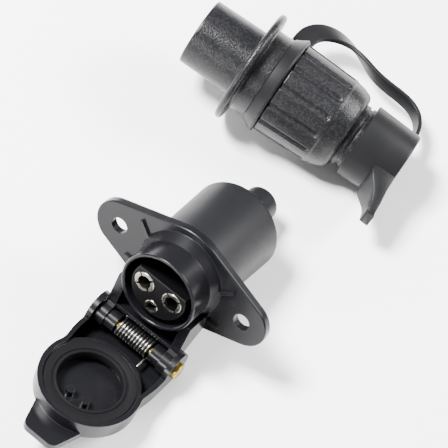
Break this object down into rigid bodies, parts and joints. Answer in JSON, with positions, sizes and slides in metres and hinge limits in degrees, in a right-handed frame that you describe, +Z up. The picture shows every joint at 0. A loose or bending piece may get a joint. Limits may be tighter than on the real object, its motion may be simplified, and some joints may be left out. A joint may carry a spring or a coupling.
{
  "type": "trailer wiring connector",
  "caption": "Round trailer wiring socket with a flange, sprung hinged lid and rubber boot, and its plug with a fluted grip and a strapped cap.",
  "frame": {"origin": "middle of the set's footprint, on the surface that it lies on", "axes": "+Z up; +X along the socket's flange and hinge pin; the socket's mouth faces -Y and tips up; the plug lies behind the socket on the +Y side with its mating end towards -X"},
  "size_m": [0.1074, 0.221, 0.0518],
  "materials": {
    "black_plastic": "satin moulded black",
    "grained_plastic": "fine spark-grained black",
    "insert_plastic": "plain black",
    "boot_rubber": "matte dark grey",
    "seal_rubber": "matte black",
    "soft_rubber": "smooth satin black",
    "nickelled_brass": "bright nickel plating",
    "steel": "bright drawn wire and turned steel",
    "black_steel": "blackened spring steel",
    "yellow_zinc": "yellow passivated zinc"
  },
  "bodies": {
    "socket": {"socket_housing": "black_plastic", "contact_insert": "insert_plastic", "power_sleeve_left": "nickelled_brass", "power_sleeve_right": "nickelled_brass", "signal_sleeve": "nickelled_brass", "socket_terminal_screws": "steel", "hinge_pin": "yellow_zinc", "hinge_pin_clip": "black_steel", "torsion_spring": "steel", "rear_boot": "boot_rubber"},
    "lid": {"lid": "black_plastic", "lid_seal": "seal_rubber"},
    "plug_body": {"plug_front_housing": "grained_plastic", "plug_insert": "insert_plastic", "power_pin_left": "nickelled_brass", "power_pin_right": "nickelled_brass", "signal_pin": "nickelled_brass", "plug_terminal_screws": "steel", "shell_o_ring": "seal_rubber"},
    "ring_and_strap": {"strap_ring": "soft_rubber", "cap_strap": "soft_rubber"},
    "cap": {"plug_cap": "soft_rubber"},
    "grip_shell": {"plug_grip_shell": "grained_plastic"},
    "gland": {"gland_nut": "grained_plastic", "gland_bush": "seal_rubber", "gland_washer": "insert_plastic"}
  },
  "joints": [
    {"name": "lid_hinge", "type": "hinge", "parent": "socket", "child": "lid", "pos_m": [0.01296, -0.05222, 0.00977], "axis": [1, 0, 0], "range_deg": [-95.7, 0], "stiffness_Nm_per_rad": 0.0012, "springref_deg": -126.05, "deforming": ["torsion_spring"]},
    {"name": "plug_lift", "type": "slide", "parent": "socket", "child": "plug_body", "axis": [0, 0, 1], "range_m": [0, 0.15]},
    {"name": "strap_ring_swivel", "type": "hinge", "parent": "plug_body", "child": "ring_and_strap", "pos_m": [-0.01445, 0.06673, 0.02307], "axis": [0.9824, 0.1328, -0.1314], "range_deg": [-75, 75]},
    {"name": "cap_pull", "type": "slide", "parent": "ring_and_strap", "child": "cap", "axis": [0.9824, 0.1328, -0.1314], "range_m": [0, 0.025], "deforming": ["cap_strap"]},
    {"name": "grip_shell_turn", "type": "hinge", "parent": "plug_body", "child": "grip_shell", "pos_m": [0.0049, 0.06934, 0.02048], "axis": [0.9824, 0.1328, -0.1314], "range_deg": [0, 350]},
    {"name": "gland_nut_turn", "type": "hinge", "parent": "grip_shell", "child": "gland", "pos_m": [0.02357, 0.07187, 0.01798], "axis": [0.9824, 0.1328, -0.1314], "range_deg": [0, 350]}
  ]
}
